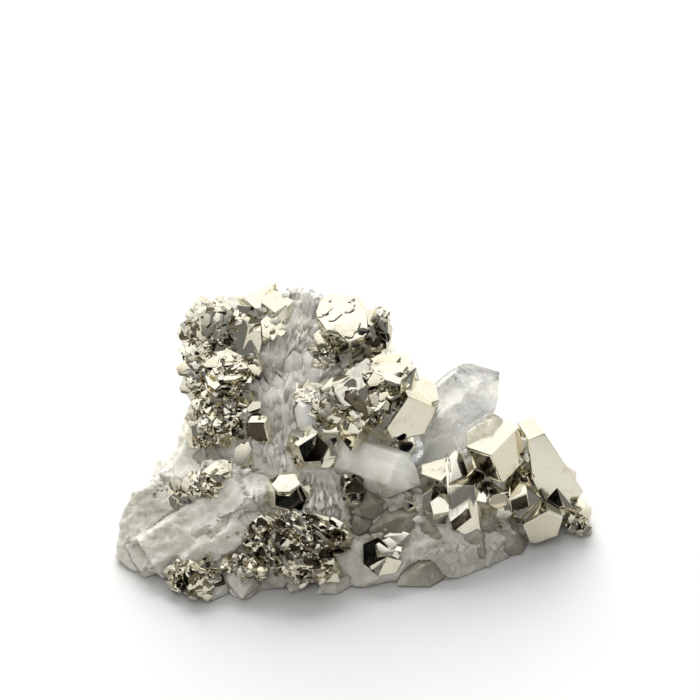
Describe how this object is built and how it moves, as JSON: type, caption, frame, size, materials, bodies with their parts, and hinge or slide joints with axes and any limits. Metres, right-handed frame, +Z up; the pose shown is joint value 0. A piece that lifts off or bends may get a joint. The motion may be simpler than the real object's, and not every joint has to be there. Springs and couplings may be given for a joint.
{
  "type": "pyrite in quartz cluster",
  "caption": "Hand specimen of brassy pyrite crystals and granular pyrite on pale quartz, with a clear quartz crystal, resting on a flat base.",
  "frame": {"origin": "middle of the flat face that the cluster rests on", "axes": "+Z up, +X to the right along the length as seen from the front, the front slope faces -Y"},
  "size_m": [0.0528, 0.0356, 0.0234],
  "materials": {
    "milky_quartz": "pale warm grey-white translucent quartz, rough breaks and smooth crystal faces",
    "clear_quartz": "clear glassy quartz with faint veils",
    "pyrite": "brassy metallic, bright flat faces, striated and granular in places"
  },
  "bodies": {
    "root": {"quartz_matrix": "milky_quartz", "quartz_crystal_clear": "clear_quartz", "pyrite_mass_upper_left": "pyrite", "pyrite_crystals_upper_right": "pyrite", "pyrite_mass_centre": "pyrite", "pyritohedron_centre": "pyrite", "pyritohedron_front": "pyrite", "pyrite_tooth": "pyrite", "pyrite_vein_left": "pyrite", "pyrite_mass_front": "pyrite", "pyrite_lump_front_left": "pyrite", "pyrite_grains_front": "pyrite", "pyrite_cube_front": "pyrite", "pyrite_cubes_right": "pyrite", "pyrite_dark_round": "pyrite", "pyrite_bead": "pyrite"}
  },
  "joints": []
}
